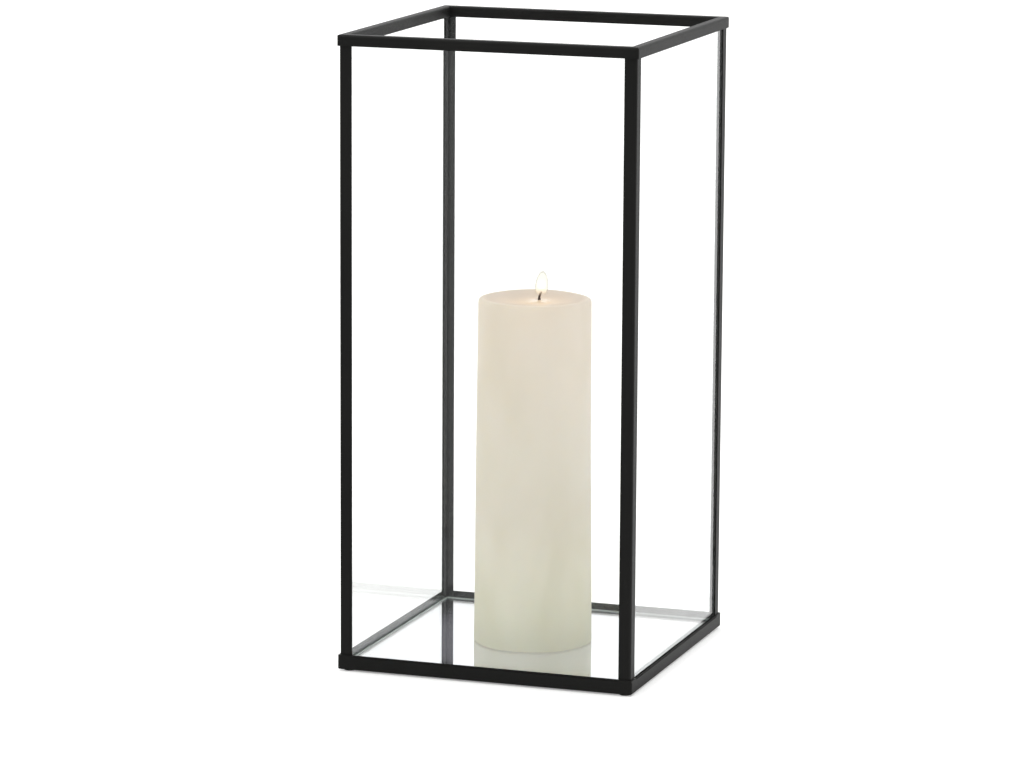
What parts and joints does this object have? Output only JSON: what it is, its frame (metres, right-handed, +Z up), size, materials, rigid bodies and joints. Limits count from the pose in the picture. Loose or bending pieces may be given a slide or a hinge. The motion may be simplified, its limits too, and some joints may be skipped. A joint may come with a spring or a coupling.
{
  "type": "hurricane candle lantern",
  "caption": "Tall open-topped square lantern: slim black metal frame, clear glass sides and a mirror floor, holding a pillar candle that lifts out of the top.",
  "frame": {"origin": "on the surface that the lantern stands on, under the middle of its base", "axes": "+Z up, -Y towards the front pane, +X to the right as seen from the front"},
  "size_m": [0.2, 0.2, 0.414],
  "materials": {
    "black_powder_coat": "matte black powder coat on folded steel sheet",
    "clear_glass": "clear float glass with seamed edges",
    "silvered_mirror": "back-silvered mirror glass",
    "brown_hardboard": "bare hardboard",
    "black_felt": "pressed felt",
    "ivory_wax": "smooth ivory wax, slightly translucent",
    "cotton_wick": "braided cotton, charred at the tip",
    "tinned_steel": "tinplate",
    "candle_flame": "small steady flame, shown only in the visual model"
  },
  "bodies": {
    "lantern": {"top_rail_front": "black_powder_coat", "base_rail_front": "black_powder_coat", "glass_pane_front": "clear_glass", "top_rail_right": "black_powder_coat", "base_rail_right": "black_powder_coat", "glass_pane_right": "clear_glass", "top_rail_back": "black_powder_coat", "base_rail_back": "black_powder_coat", "glass_pane_back": "clear_glass", "top_rail_left": "black_powder_coat", "base_rail_left": "black_powder_coat", "glass_pane_left": "clear_glass", "corner_post_front_left": "black_powder_coat", "felt_pad_front_left": "black_felt", "corner_post_front_right": "black_powder_coat", "felt_pad_front_right": "black_felt", "corner_post_back_right": "black_powder_coat", "felt_pad_back_right": "black_felt", "corner_post_back_left": "black_powder_coat", "felt_pad_back_left": "black_felt", "backing_board": "brown_hardboard", "mirror_plate": "silvered_mirror"},
    "candle": {"candle_wax": "ivory_wax", "wick": "cotton_wick", "wick_sustainer": "tinned_steel"}
  },
  "joints": [
    {"name": "candle_lift", "type": "slide", "parent": "lantern", "child": "candle", "axis": [0, 0, 1], "range_m": [0, 0.41]}
  ]
}
